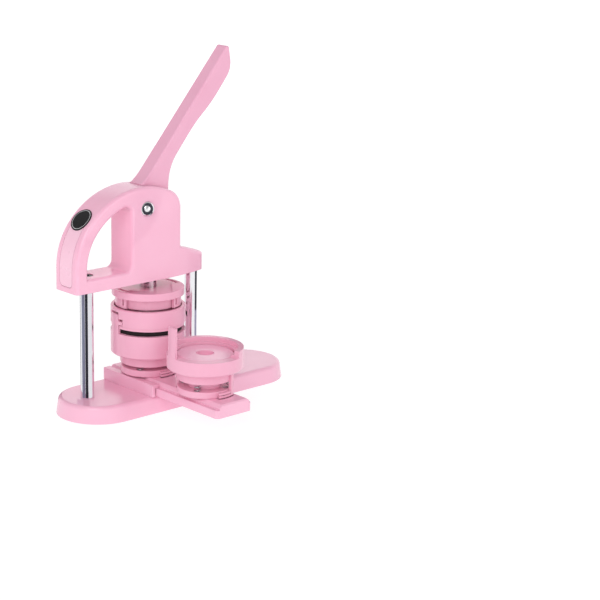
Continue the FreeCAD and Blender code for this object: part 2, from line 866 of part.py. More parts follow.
def lever_handle():
    """Moulded lever, thinner towards its tip, with the cam and hub at its foot."""
    full = lever_thickness / 2
    slim = lever_tip_thickness / 2
    half = prism(lever_outline(), vec(0, full, 0))

    def tip_corner(edge, p):
        return abs(p.y - full / 2) < 0.01 and p.z > lever_tip_z - 1.0

    half = fillet_where(half, lever_tip_corner, tip_corner)
    lean = math.radians(lever_lean)
    along = vec(math.sin(lean), 0, math.cos(lean))
    across = vec(math.cos(lean), 0, -math.sin(lean))
    reach = 80.0
    foot = -2.0 * lever_thickness
    tip = (lever_tip_z - pivot_z) / along.z
    stations = [(foot, 0.0), (foot, full), (0.0, full), (tip, slim), (tip, 0.0)]
    corners = []
    for step, y in stations:
        x = pivot_x + along.x * step - across.x * reach
        z = pivot_z + along.z * step - across.z * reach
        corners.append(vec(x, y, z))
    wedge = prism(polygon(corners), vec(across.x * 2 * reach, 0, across.z * 2 * reach))
    half = half.common(wedge).removeSplitter()

    def handle_rim(edge, p):
        return p.z > head_crown_z + 1.5 and p.y > 1.0 and is_side_rim(half, edge, p)

    half = fillet_where(half, lever_edge_radius, handle_rim)
    body = fuse([half, half.mirror(vec(0, 0, 0), vec(0, 1, 0))])
    bore = pivot_diameter / 2 + ram_clearance + lever_bush_wall + fit
    return body.cut(cross_rod(bore, -lever_thickness, lever_thickness, pivot_x, pivot_z))


def lever_bush():
    inner = pivot_diameter / 2 + ram_clearance
    half = lever_thickness / 2
    outer = cross_rod(inner + lever_bush_wall, -half, half, pivot_x, pivot_z)
    return outer.cut(cross_rod(inner, -half - over, half + over, pivot_x, pivot_z))


collar_bottom = ram_top - collar_drop
clip_bottom = collar_bottom + collar_height
ram_foot = plate_top - plate_seat


def ram_shaft():
    """Plated ram with a clip groove near its top and a tapped hole in its foot."""
    groove = tube(ram_radius + over, ram_radius - clip_groove, clip_bottom, clip_bottom + clip_height)
    hole = rod(die_screw_diameter / 2 + fit, ram_foot - over, ram_foot + ram_tap_depth)
    return cut(rod(ram_radius, ram_foot, ram_top), [groove, hole])


def ram_collar():
    return tube(collar_diameter / 2, ram_radius + fit, collar_bottom, clip_bottom)


def ram_clip():
    """Open retaining ring that holds the collar down against the spring."""
    low = clip_bottom + fit
    high = clip_bottom + clip_height - fit
    inner = ram_radius - clip_groove + fit
    return sector(ram_radius + clip_rim, inner, clip_mouth / 2, 360.0 - clip_mouth / 2, low, high)


def coil(mean_radius, wire, z_low, z_high, turns):
    """A compression spring: one round wire wound up the Z axis in half-turn steps."""
    low = z_low + wire / 2 + fit
    high = z_high - wire / 2 - fit
    rise = (high - low) / turns
    slope = rise / (2.0 * math.pi)
    scale = math.hypot(mean_radius, slope)

    def station(angle):
        x = mean_radius * math.cos(angle)
        y = mean_radius * math.sin(angle)
        return vec(x, y, low + slope * angle), vec(-y / scale, x / scale, slope / scale)

    edges = []
    for step in range(2 * turns):
        start, start_way = station(step * math.pi)
        end, end_way = station((step + 1) * math.pi)
        edges += biarc(start, start_way, end, end_way)
    place, way = station(0.0)
    section = Part.Wire(Part.makeCircle(wire / 2, place, way))
    sweep = Part.BRepOffsetAPI.MakePipeShell(Part.Wire(edges))
    sweep.add(section)
    sweep.build()
    sweep.makeSolid()
    return sweep.shape()


def print_self_gap(name, wire, z_low, z_high, turns):
    """Print the least gap between neighbouring turns of a coil."""
    rise = (z_high - z_low - wire - 2 * fit) / turns
    print(name, "turn gap", round(rise - wire, 2), "mm")


def return_spring():
    low = head_bottom + bush_length
    mean = ram_radius + bush_wall
    print_self_gap("return_spring", return_wire, low, collar_bottom, return_turns)
    return coil(mean, return_wire, low, collar_bottom, return_turns)


def upper_die_plate():
    """Round pressing plate, with a seat for the ram and two curved recesses on top."""
    plate = rod(plate_diameter / 2, plate_bottom, plate_top)
    plate = fillet_where(plate, die_edge, lambda edge, p: True)
    tools = [rod(ram_radius + fit, ram_foot, plate_top + over)]
    tools.append(rod(die_screw_diameter / 2 + fit, plate_bottom - over, plate_top))
    outer = skirt_diameter / 2
    inner = outer - plate_recess_width
    floor = plate_top - plate_recess_depth
    for middle in opposite(0.0):
        start = middle - plate_recess_half_angle
        end = middle + plate_recess_half_angle
        tools.append(sector(outer, inner, start, end, floor, plate_top + over))
    return cut(plate, tools)


def upper_die_skirt():
    """Two guide walls under the plate, open at the front and back, with hooked ends."""
    outer = skirt_diameter / 2
    inner = outer - skirt_wall
    low = plate_bottom - skirt_height
    sill = low + skirt_toe
    roof = plate_bottom - over
    walls = []
    span = skirt_open_from + 180.0 - skirt_open_to
    for start in opposite(skirt_open_to):
        wall = sector(outer, inner, start, start + span, low, plate_bottom)
        for notch_start in (start + skirt_hook, start + span - skirt_hook - skirt_notch):
            notch_end = notch_start + skirt_notch
            wall = wall.cut(sector(outer + over, inner - over, notch_start, notch_end, sill, roof))
        walls.append(wall)
    return walls


def upper_die_cup():
    """Ring under the plate that closes round the badge shell."""
    outer = cup_diameter / 2
    return tube(outer, outer - cup_wall, plate_bottom - cup_height, plate_bottom)


def upper_die_pusher():
    radius = cup_diameter / 2 - cup_wall - pusher_play
    low = plate_bottom - pusher_height
    plate = rod(radius, low, plate_bottom)
    seat = rod(die_screw_head / 2 + pusher_play, low - over, plate_bottom - pusher_web)
    return cut(plate, [seat, rod(die_screw_diameter / 2 + fit, low - over, plate_bottom + over)])


def upper_die_screw():
    head_top = plate_bottom - pusher_web
    head = rod(die_screw_head / 2, plate_bottom - pusher_height, head_top)
    shank = rod(die_screw_diameter / 2, head_top, ram_foot + ram_tap_depth - screw_end_room)
    pocket = prism(hexagon(die_screw_socket), vec(0, 0, die_screw_socket_depth))
    return fuse([head, shank]).cut(shifted(pocket, z=plate_bottom - pusher_height))


def guide_rail(side):
    """Moulded rail: an upright wall with a lip that holds the tray's foot down."""
    y_low = rail_centre_y - rail_length / 2
    inner = half_rails - rail_wall
    outline = [
        vec(side * half_rails, y_low, base_top),
        vec(side * half_rails, y_low, rail_top),
        vec(side * (inner - lip_depth), y_low, rail_top),
        vec(side * (inner - lip_depth), y_low, lip_bottom),
        vec(side * inner, y_low, lip_bottom),
        vec(side * inner, y_low, base_top),
    ]
    rail = prism(polygon(outline), vec(0, rail_length, 0))

    def top_edge(edge, p):
        outer_top = abs(p.z - rail_top) < 0.01 and abs(abs(p.x) - half_rails) < 0.01
        corners = abs(abs(p.x) - half_rails) < 0.01 and p.z < rail_top - 1 and edge.Length < rail_height + 1
        return outer_top or corners

    rail = fillet_where(rail, rail_edge_radius, top_edge)
    holes = []
    for x, y in rail_screw_places:
        if x * side > 0:
            holes.append(rod(rail_screw_diameter / 2 + fit, base_top - over, rail_top - rail_roof, x, y))
    return cut(rail, holes)


def guide_rail_screws():
    screws = []
    for x, y in rail_screw_places:
        head = rod(rail_screw_diameter, deck_bottom - rail_screw_head, deck_bottom, x, y)
        shank = rod(rail_screw_diameter / 2, deck_bottom, rail_top - rail_roof - over, x, y)
        screws.append(fuse([head, shank]))
    return screws


def tray_stop_pin():
    return rod(stop_pin_diameter / 2, deck_bottom, base_top + stop_pin_rise, stop_pin_x)


tray_front = die_b_y - tray_front_overhang
tray_back = tray_back_overhang
core_screw_top = tray_bottom + core_screw_drop
hook_pocket_floor = hook_bottom - gap_b - hook_gap


def die_tray():
    """Sliding tray: a wide foot under the rails' lips and a narrower deck for both dies."""
    half = half_tray_foot
    foot = prism(polygon([
        vec(-half, tray_back, tray_bottom),
        vec(-half, tray_front + tray_chamfer, tray_bottom),
        vec(-half + tray_chamfer, tray_front, tray_bottom),
        vec(half - tray_chamfer, tray_front, tray_bottom),
        vec(half, tray_front + tray_chamfer, tray_bottom),
        vec(half, tray_back, tray_bottom),
    ]), vec(0, 0, tray_shelf - tray_bottom))
    half = half_tray_top
    bevel_z = tray_top - deck_bevel
    across = prism(polygon([
        vec(-half, tray_front, tray_shelf),
        vec(half, tray_front, tray_shelf),
        vec(half, tray_front, bevel_z),
        vec(half - deck_bevel, tray_front, tray_top),
        vec(-half + deck_bevel, tray_front, tray_top),
        vec(-half, tray_front, bevel_z),
    ]), vec(0, tray_back - tray_front, 0))
    along = prism(polygon([
        vec(-half, tray_front, tray_shelf),
        vec(-half, tray_front, tray_top - nose_bevel),
        vec(-half, tray_front + nose_bevel, tray_top),
        vec(-half, tray_back, tray_top),
        vec(-half, tray_back, tray_shelf),
    ]), vec(2 * half, 0, 0))
    deck = across.common(along)
    tools = []
    for y in (0.0, die_b_y):
        tools.append(rod(die_screw_diameter / 2 + fit, tray_bottom - over, tray_top + over, 0, y))
        tools.append(rod(die_screw_head / 2 + screw_head_room, tray_bottom - over, core_screw_top, 0, y))
        for angle in opposite(hook_angle):
            start = angle - hook_sweep - hook_play_angle
            end = angle + hook_half_angle + hook_play_angle
            inner = hook_inner - hook_gap
            pocket = sector(hook_outer + hook_gap, inner, start, end, hook_pocket_floor, tray_top + over)
            tools.append(shifted(pocket, y=y))
    play = stop_pin_diameter / 2 + stop_play
    groove_low = tray_bottom - over
    groove_top = tray_bottom + stop_groove_depth
    for y in (0.0, die_b_y):
        tools.append(rod(play, groove_low, groove_top, stop_pin_x, y))
    tools.append(block(stop_pin_x - play, stop_pin_x + play, die_b_y, 0.0, groove_low, groove_top))
    return cut(fuse([foot, deck]), tools)


def spring_places():
    step = 360.0 / spring_count
    return [polar(spring_circle / 2, spring_start_angle + k * step) for k in range(spring_count)]


def spring_pockets(z_low, z_high):
    radius = spring_diameter / 2 + spring_pocket_clearance
    return [rod(radius, z_low, z_high, p.x, p.y) for p in spring_places()]


spring_low = flange_top - spring_seat_depth


def die_flange():
    """Round foot of a die, screwed to the tray, with spring seats and two lugs for the hooks."""
    flange = rod(flange_diameter / 2, tray_top, flange_top)
    flange = fillet_where(flange, die_edge, lambda edge, p: True)
    lug_root = hook_inner - hook_wall
    lug_top = flange_top - die_edge
    lugs = []
    for angle in opposite(hook_angle):
        start = angle - hook_sweep
        end = angle - hook_half_angle - hook_play_angle
        lugs.append(sector(hook_outer, lug_root, start, end, lug_bottom, lug_top))
    flange = fuse([flange] + lugs)
    tools = [rod(die_screw_diameter / 2 + fit, tray_top - over, flange_top + over)]
    tools += spring_pockets(spring_low, flange_top + over)
    return cut(flange, tools)


def die_core(diameter, under, top):
    """Stem and head of a die: the stem guides the sleeve and the head carries the badge."""
    stem = rod(stem_diameter / 2, flange_top, under)
    head = rod(diameter / 2, under, top)
    hole = rod(die_screw_diameter / 2 + fit, flange_top - over, flange_top + core_tap_depth)
    return fuse([stem, head]).cut(hole)


def sleeve_levels(gap, height):
    neck_bottom = flange_top + gap
    bottom = neck_bottom + neck_height
    return neck_bottom, bottom, bottom + sleeve_floor, bottom + height


def die_a_core():
    floor = sleeve_levels(gap_a, sleeve_a_height)[2]
    core = die_core(core_a_diameter, floor + core_gap, core_a_top - core_a_crown)
    radius = core_a_diameter / 2
    ball = (radius ** 2 + core_a_crown ** 2) / (2 * core_a_crown)
    sphere = Part.makeSphere(ball, vec(0, 0, core_a_top - ball))
    crown = sphere.common(rod(radius, core_a_top - core_a_crown, core_a_top + over))
    return fuse([core, crown])


def die_b_core():
    floor = sleeve_levels(gap_b, sleeve_b_height)[2]
    core = die_core(core_b_diameter, floor + core_gap, core_b_top)
    core = fillet_where(core, die_edge, lambda edge, p: abs(p.z - core_b_top) < 0.01)
    return at_die_b(core.cut(rod(core_b_hole / 2, core_b_top - core_b_hole_depth, core_b_top + over)))


def core_screw():
    head = rod(die_screw_head / 2, core_screw_top - core_screw_head, core_screw_top)
    shank = rod(die_screw_diameter / 2, core_screw_top, flange_top + core_tap_depth - screw_end_room)
    return fuse([head, shank])


def hook_legs(neck_bottom):
    """Two legs under a sleeve whose feet run sideways under the flange's lugs and keep it on."""
    leg_top = neck_bottom + neck_height + over
    foot_top = lug_bottom - hook_gap
    hooks = []
    for angle in opposite(hook_angle):
        end = angle + hook_half_angle
        leg = sector(hook_outer, hook_inner, angle - hook_half_angle, end, hook_bottom, leg_top)
        foot = sector(hook_outer, hook_inner, angle - hook_sweep, end, hook_bottom, foot_top)
        hooks.append(fuse([leg, foot]))
    return hooks


def guide_tab(middle, z_low, z_high):
    """Upright tab on a sleeve's rim that steers the part above it."""
    outer = die_diameter / 2
    return sector(outer, outer - tab_wall, middle - tab_half_angle, middle + tab_half_angle, z_low, z_high)


def die_sleeve(gap, height, bore_steps):
    """Sprung sleeve of a die: neck, cup wall and two hook legs."""
    neck_bottom, bottom, floor, top = sleeve_levels(gap, height)
    outer = die_diameter / 2
    neck = neck_diameter / 2
    stem = stem_diameter / 2 + stem_clearance
    outline = [
        (stem, neck_bottom),
        (neck - die_edge, neck_bottom),
        (neck, neck_bottom + die_edge),
        (neck, bottom),
        (outer - sleeve_edge, bottom),
        (outer, bottom + sleeve_edge),
        (outer, top),
    ]
    outline += bore_steps
    outline += [(sleeve_bore / 2, floor), (stem, floor)]
    body = fuse([revolve(outline)] + hook_legs(neck_bottom))
    roof = neck_bottom + spring_roof_depth
    return cut(body, spring_pockets(neck_bottom - over, roof))


def die_a_sleeve():
    top = sleeve_levels(gap_a, sleeve_a_height)[3]
    sleeve = die_sleeve(gap_a, sleeve_a_height, [(sleeve_bore / 2, top)])
    outer = die_diameter / 2
    barb_top = tab_a_top - barb_drop
    barb_low = barb_top - barb_height
    extras = []
    for middle in opposite(tab_angle):
        extras.append(guide_tab(middle, top - tab_root, tab_a_top))
        barb_end = middle + tab_half_angle + barb_angle
        extras.append(sector(outer, outer - tab_wall, middle, barb_end, barb_low, barb_top))
    return fuse([sleeve] + extras)


def die_b_sleeve():
    """Die B's sleeve: its rim is low over the front half, where one tall tab stands."""
    top = sleeve_levels(gap_b, sleeve_b_height)[3]
    ledge = top - well_depth
    steps = [(well_diameter / 2, top), (well_diameter / 2, ledge), (sleeve_bore / 2, ledge)]
    sleeve = die_sleeve(gap_b, sleeve_b_height, steps)
    outer = die_diameter / 2 + over
    inner = sleeve_bore / 2 - over
    low_half = sector(outer, inner, die_b_open_from, die_b_open_to, core_b_top, top + over)
    tab = guide_tab(tab_angle, core_b_top - tab_root, tab_b_top)
    return at_die_b(fuse([sleeve.cut(low_half), tab]))


def die_a_ring():
    """Pressing ring that floats on die A's sleeve, slotted for the sleeve's tabs and barbs."""
    outer = die_diameter / 2
    inner = sleeve_bore / 2
    ledge = ring_bottom + ring_ledge_height
    body = revolve([
        (inner, ring_bottom),
        (outer - ring_step, ring_bottom),
        (outer - ring_step, ring_bottom + ring_step_height),
        (outer, ring_bottom + ring_step_height),
        (outer, ring_top - die_edge),
        (outer - die_edge, ring_top),
        (ring_bore / 2 + die_edge, ring_top),
        (ring_bore / 2, ring_top - die_edge),
        (ring_bore / 2, ledge),
        (inner, ledge),
    ])
    play_angle = math.degrees(ring_play / outer)
    slot_top = tab_a_top + ring_travel + ring_play
    barb_top = tab_a_top - barb_drop
    window_low = barb_top - barb_height - ring_play
    window_high = barb_top + ring_travel + ring_play
    depth = ring_bore / 2 - ring_play
    tools = []
    for middle in opposite(tab_angle):
        start = middle - tab_half_angle - play_angle
        end = middle + tab_half_angle + play_angle
        tools.append(sector(outer + over, depth, start, end, ring_bottom - over, slot_top))
        tools.append(sector(outer + over, depth, middle, end + barb_angle, window_low, window_high))
    return cut(body, tools)


def die_a_ring_springs():
    """Rubber ring on the sleeve's rim that springs the pressing ring."""
    outer = die_diameter / 2 - tab_wall - ring_spring_gap
    ring = tube(outer, outer - ring_spring_wall, sleeve_a_top + fit, ring_bottom - fit)
    return fillet_where(ring, die_edge, lambda edge, p: edge.Length > 2 * math.pi * (outer - over))


def die_springs(name, gap):
    high = flange_top + gap + spring_roof_depth
    turns = round((high - spring_low) / spring_pitch)
    print_self_gap(name, spring_wire, spring_low, high, turns)
    one = coil((spring_diameter - spring_wire) / 2, spring_wire, spring_low, high, turns)
    return [shifted(one, p.x, p.y) for p in spring_places()]


def die_b_springs():
    return [at_die_b(spring) for spring in die_springs("die_b_springs", gap_b)]


nodes = {
    "base_shell": base_shell(),
    "anti_slip_mat": anti_slip_mat(),
    "left_post": post(left_post_x),
    "right_post": post(right_post_x),
    "lower_post_bolts": lower_post_bolts(),
    "upper_post_bolts": upper_post_bolts(),
    "head_body": head_body(),
    "arch_cover_strip": arch_cover_strip(),
    "round_label": round_label(),
    "ram_bush": ram_bush(),
    "pivot_bolt": pivot_bolt(),
    "pivot_cap_nut": pivot_cap_nut(),
    "left_guide_rail": guide_rail(-1),
    "right_guide_rail": guide_rail(1),
    "guide_rail_screws": guide_rail_screws(),
    "tray_stop_pin": tray_stop_pin(),
    "lever_handle": lever_handle(),
    "lever_bush": lever_bush(),
    "ram_shaft": ram_shaft(),
    "ram_collar": ram_collar(),
    "ram_clip": ram_clip(),
    "return_spring": return_spring(),
    "upper_die_plate": upper_die_plate(),
    "upper_die_skirt": upper_die_skirt(),
    "upper_die_cup": upper_die_cup(),
    "upper_die_pusher": upper_die_pusher(),
    "upper_die_screw": upper_die_screw(),
    "die_tray": die_tray(),
    "die_a_flange": die_flange(),
    "die_a_core": die_a_core(),
    "die_a_screw": core_screw(),
    "die_a_springs": die_springs("die_a_springs", gap_a),
    "die_a_sleeve": die_a_sleeve(),
    "die_a_ring": die_a_ring(),
    "die_a_ring_springs": die_a_ring_springs(),
    "die_b_flange": at_die_b(die_flange()),
    "die_b_core": die_b_core(),
    "die_b_screw": at_die_b(core_screw()),
    "die_b_springs": die_b_springs(),
    "die_b_sleeve": die_b_sleeve(),
}

os.makedirs("parts", exist_ok=True)
for name, shape in nodes.items():
    if isinstance(shape, list):
        shape = Part.makeCompound(shape)
    if not shape.isValid():
        print(name, "is not valid")
    print(name, len(shape.Solids), "solid(s)", round(shape.Volume / 1000.0, 2), "cm3")
    shape.exportStep("parts/" + name + ".step")
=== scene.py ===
# %% [markdown]
# # A button badge press, finished for a studio picture
#
# The press arrives as a packed engineering model: forty named pieces on seven bodies. The rigid pieces
# already have their real shape, so they keep it. This lesson sets up the camera and the light, gives every
# piece its finish, winds the springs with closed ends and turns the rubber ring with its swell.

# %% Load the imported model
import math

import bpy
from mathutils import Matrix, Vector


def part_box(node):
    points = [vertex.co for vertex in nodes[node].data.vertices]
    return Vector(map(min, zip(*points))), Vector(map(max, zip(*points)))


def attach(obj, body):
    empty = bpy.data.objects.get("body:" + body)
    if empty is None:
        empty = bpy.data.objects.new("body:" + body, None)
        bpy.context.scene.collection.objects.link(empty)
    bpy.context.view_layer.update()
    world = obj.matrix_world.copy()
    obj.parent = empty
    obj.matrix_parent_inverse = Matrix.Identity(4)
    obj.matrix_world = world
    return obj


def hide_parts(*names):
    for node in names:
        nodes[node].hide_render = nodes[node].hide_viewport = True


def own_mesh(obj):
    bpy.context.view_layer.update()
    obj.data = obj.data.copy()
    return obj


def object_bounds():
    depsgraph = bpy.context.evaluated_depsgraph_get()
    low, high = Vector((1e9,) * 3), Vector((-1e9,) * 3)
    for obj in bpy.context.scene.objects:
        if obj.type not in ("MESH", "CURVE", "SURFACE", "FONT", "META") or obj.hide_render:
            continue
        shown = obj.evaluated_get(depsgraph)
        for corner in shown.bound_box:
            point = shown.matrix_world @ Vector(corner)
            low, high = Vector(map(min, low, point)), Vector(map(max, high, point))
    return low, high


def in_mm(metres):
    """A length for printing."""
    return round(1000 * metres, 1)


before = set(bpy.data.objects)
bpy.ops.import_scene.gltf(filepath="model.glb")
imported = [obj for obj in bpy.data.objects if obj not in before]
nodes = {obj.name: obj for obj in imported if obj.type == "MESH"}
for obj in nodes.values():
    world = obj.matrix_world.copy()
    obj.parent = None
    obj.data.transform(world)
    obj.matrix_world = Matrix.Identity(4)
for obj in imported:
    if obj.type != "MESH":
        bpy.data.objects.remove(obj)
cad_low, cad_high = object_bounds()
print("size in mm:", [in_mm(side) for side in cad_high - cad_low])

# %% [markdown]
# ## Camera
#
# A camera could be pushed about by eye until the picture looks right. This one was found by fitting the
# straight edges and the round dies of the photograph, so it is written down as a place, three turning
# angles and a focal length. A long lens a good way off keeps the upright posts nearly parallel, which is
# how product pictures are usually taken.

# %% Place the camera
camera_place = Vector((-1.09034, -1.36821, 0.58139))
camera_yaw = math.radians(-43.878)
camera_pitch = math.radians(14.988)
camera_roll = math.radians(1.399)
picture_side = 600.0
focal_pixels = 1687.48

forward = Vector((
    -math.sin(camera_yaw) * math.cos(camera_pitch),
    math.cos(camera_yaw) * math.cos(camera_pitch),
    -math.sin(camera_pitch),
))
level_right = Vector((math.cos(camera_yaw), math.sin(camera_yaw), 0.0))
level_up = level_right.cross(forward)
camera_right = level_right * math.cos(camera_roll) + level_up * math.sin(camera_roll)
camera_up = level_up * math.cos(camera_roll) - level_right * math.sin(camera_roll)

camera_data = bpy.data.cameras.new("studio_camera")
camera_data.sensor_width = 36.0
camera_data.lens = focal_pixels * camera_data.sensor_width / picture_side
camera_data.clip_end = 20.0
camera = bpy.data.objects.new("studio_camera", camera_data)
turn = Matrix((camera_right, camera_up, -forward)).transposed().to_4x4()
camera.matrix_world = Matrix.Translation(camera_place) @ turn
bpy.context.scene.collection.objects.link(camera)
bpy.context.scene.camera = camera
print("lens in mm:", round(camera_data.lens, 1))

# %% [markdown]
# ## White light table
#
# The press stands on a plain white ground. A grey floor under strong lamps would also come out white, but
# with a heavy shadow. A floor that shines a little by itself, like a light table, keeps the ground clean
# and leaves only a faint shadow where the base touches it.

# %% White light table
def glowing_paint(name, glow):
    """Matt paint that also shines by itself."""
    paint = bpy.data.materials.new(name)
    paint.use_nodes = True
    shader = paint.node_tree.nodes["Principled BSDF"]
    shader.inputs["Base Color"].default_value = (0.30, 0.30, 0.30, 1.0)
    shader.inputs["Roughness"].default_value = 0.9
    shader.inputs["Specular IOR Level"].default_value = 0.0
    shader.inputs["Emission Color"].default_value = (1.0, 1.0, 1.0, 1.0)
    shader.inputs["Emission Strength"].default_value = glow
    return paint


def stage_sheet(name, corners, paint):
    """A flat stage piece through four corners."""
    mesh = bpy.data.meshes.new(name)
    mesh.from_pydata(corners, [], [(0, 1, 2, 3)])
    mesh.materials.append(paint)
    sheet = bpy.data.objects.new(name, mesh)
    bpy.context.scene.collection.objects.link(sheet)


floor_half = 40.0
floor_glow = 0.80
floor_sides = ((-1, -1), (1, -1), (1, 1), (-1, 1))
floor_corners = [(x * floor_half, y * floor_half, 0.0) for x, y in floor_sides]
stage_sheet("studio_floor", floor_corners, glowing_paint("floor_paint", floor_glow))
print("floor:", 2 * floor_half, "m wide")

# %% [markdown]
# ## White backdrop
#
# Plastic seen at a low angle mirrors what stands behind it. A white sheet behind the press gives the flat
# tops of the base and the dies their pale sheen. A stronger lamp could do it too, but it would lift every
# face alike.

# %% White backdrop
backdrop_reach = 1.6
backdrop_half = 3.0
backdrop_height = 1.4
backdrop_glow = 0.95
level_forward = Vector((forward.x, forward.y, 0.0)).normalized()
backdrop_left = backdrop_reach * level_forward - backdrop_half * level_right
backdrop_right = backdrop_reach * level_forward + backdrop_half * level_right
backdrop_corners = [
    (*backdrop_left.xy, 0.0),
    (*backdrop_right.xy, 0.0),
    (*backdrop_right.xy, backdrop_height),
    (*backdrop_left.xy, backdrop_height),
]
stage_sheet("studio_backdrop", backdrop_corners, glowing_paint("backdrop_paint", backdrop_glow))
print("backdrop:", 2 * backdrop_half, "by", backdrop_height, "m")

# %% [markdown]
# ## Pale surround
#
# Light from all round keeps the shadows soft. An even surround is the simplest, but then the far end of
# the floor shows as a grey line from low down. So the surround is white at the horizon, where it meets the
# floor, and fades to a quieter tone above.

# %% Pale surround
horizon_strength = 1.0
sky_strength = 0.52
horizon_top = 0.12
sky_bottom = 0.30
world = bpy.data.worlds.new("studio_surround")
bpy.context.scene.world = world
world.use_nodes = True
sky = world.node_tree
surround_light = sky.nodes["Background"]
surround_light.inputs["Color"].default_value = (1.0, 0.985, 0.99, 1.0)
direction = sky.nodes.new("ShaderNodeTexCoord")
rise = sky.nodes.new("ShaderNodeSeparateXYZ")
fade = sky.nodes.new("ShaderNodeMapRange")
fade.inputs["From Min"].default_value = horizon_top
fade.inputs["From Max"].default_value = sky_bottom
fade.inputs["To Min"].default_value = horizon_strength
fade.inputs["To Max"].default_value = sky_strength
sky.links.new(direction.outputs["Generated"], rise.inputs["Vector"])
sky.links.new(rise.outputs["Z"], fade.inputs["Value"])
sky.links.new(fade.outputs["Result"], surround_light.inputs["Strength"])
print("surround strength:", horizon_strength, "at the horizon,", sky_strength, "above")

# %% [markdown]
# ## Key and fill lamps
#
# One wide lamp hangs high on the left of the camera and models the shapes, and a smaller one fills the
# front from low on the right. A sun or a spot would draw hard shadow edges. Wide area lamps act like the
# soft boxes of a studio.

# %% Key and fill lamps
def soft_light(name, place, aim, size, watts):
    """A square area light that looks from a place to an aim."""
    data = bpy.data.lights.new(name, "AREA")
    data.size = size
    data.energy = watts
    lamp = bpy.data.objects.new(name, data)
    lamp.location = place
    lamp.rotation_euler = (Vector(aim) - Vector(place)).to_track_quat("-Z", "Y").to_euler()
    bpy.context.scene.collection.objects.link(lamp)


middle = (cad_low + cad_high) / 2
lamps = [
    # name, place, aim, size in metres, watts
    ("key_light", (-1.4, -1.0, 1.4), middle, 1.4, 15.5),
    ("fill_light", (0.6, -1.8, 0.5), middle, 1.2, 4.0),
]
for row in lamps:
    soft_light(*row)
bpy.context.scene.view_settings.view_transform = "Standard"
print("lights:", [row[0] for row in lamps])

# %% [markdown]
# ## Cloths for the flags
#
# A polished bar in an all-white room looks like white plastic. A darker metal would only look dull, so
# photographers stand cards, called flags, just outside the picture: black and grey ones give the bar
# something dark to mirror, and a white one that glows by itself keeps its bright stripe. The flags here are
# seen by mirror rays only, so they throw no shadow and never show in the picture themselves.

# %% Cloths for the flags
cloth_tint = (0.86, 0.95, 1.2)


def flag_cloth(name, tone, glow=0.0):
    """Matt, slightly blue cloth of one grey tone, which can glow like a lit white card."""
    cloth = bpy.data.materials.new(name)
    cloth.use_nodes = True
    shader = cloth.node_tree.nodes["Principled BSDF"]
    shader.inputs["Base Color"].default_value = (*[part * tone for part in cloth_tint], 1.0)
    shader.inputs["Roughness"].default_value = 1.0
    shader.inputs["Specular IOR Level"].default_value = 0.0
    shader.inputs["Emission Color"].default_value = (1.0, 1.0, 1.0, 1.0)
    shader.inputs["Emission Strength"].default_value = glow
    return cloth


def mirror_only(name, points, faces, cloth):
    """A stage piece that only mirror rays can see."""
    mesh = bpy.data.meshes.new(name)
    mesh.from_pydata(points, [], faces)
    mesh.materials.append(cloth)
    piece = bpy.data.objects.new(name, mesh)
    piece.visible_camera = False
    piece.visible_diffuse = False
    piece.visible_shadow = False
    bpy.context.scene.collection.objects.link(piece)


black_cloth = flag_cloth("black_cloth", 0.07)
grey_cloth = flag_cloth("grey_cloth", 0.52)
white_card = flag_cloth("white_card", 0.10, glow=0.85)
print("cloths:", black_cloth.name, grey_cloth.name, white_card.name)

# %% [markdown]
# ## Flags beside the posts and the ram
#
# Each bar gets its own upright flags, told by the direction that they stand in. Large flags far off would
# serve all bars at once, but the foot of a post would then mirror the pink base. So three narrow flags
# stand close round the left post, from the base to the head, and its stripes run down to its foot.

# %% Flags beside the posts and the ram
def flag(name, beside, azimuth, distance, width, heights, cloth):
    """An upright card between two heights that faces a bar from a given direction."""
    box_low, box_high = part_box(beside)
    low, high = heights
    way = Vector((math.cos(math.radians(azimuth)), math.sin(math.radians(azimuth)), 0.0))
    foot = (box_low + box_high) / 2 + distance * way
    side = Vector((-way.y, way.x, 0.0)) * width / 2
    left, right = (foot + side).xy, (foot - side).xy
    points = [(*left, low), (*right, low), (*right, high), (*left, high)]
    mirror_only(name, points, [(0, 1, 2, 3)], cloth)


post_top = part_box("left_post")[1].z
base_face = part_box("base_shell")[1].z
left_heights = (base_face, post_top)
behind_heights = (0.0, post_top)
right_step = 0.075
right_heights = (right_step, post_top)
right_low_heights = (0.03, right_step)
ram_heights = (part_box("upper_die_plate")[1].z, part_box("head_body")[0].z)
flags = [
    # name, bar, azimuth in degrees, distance, width, heights, cloth
    ("flag_camera", "left_post", 229.0, 0.0105, 0.0060, left_heights, black_cloth),
    ("flag_left", "left_post", 187.0, 0.0105, 0.0089, left_heights, grey_cloth),
    ("flag_front", "left_post", 275.0, 0.0105, 0.0105, left_heights, white_card),
    ("flag_behind", "left_post", 85.0, 0.10, 0.045, behind_heights, black_cloth),
    ("flag_right", "right_post", 342.0, 0.06, 0.075, right_heights, black_cloth),
    ("flag_right_low", "right_post", 342.0, 0.06, 0.075, right_low_heights, grey_cloth),
    ("flag_ram_left", "ram_shaft", 215.0, 0.025, 0.028, ram_heights, black_cloth),
    ("flag_ram_right", "ram_shaft", 326.0, 0.025, 0.022, ram_heights, black_cloth),
]
for row in flags:
    flag(*row)
print("flags:", [row[0] for row in flags])

# %% [markdown]
# ## Tube in front of the pivot bolt
#
# The head of the pivot bolt is rounded, so it mirrors nearly the whole studio. One card beside it would
# darken one side only. A short black tube in front of it, a little to one side, is mirrored as a dark ring
# round a bright middle.

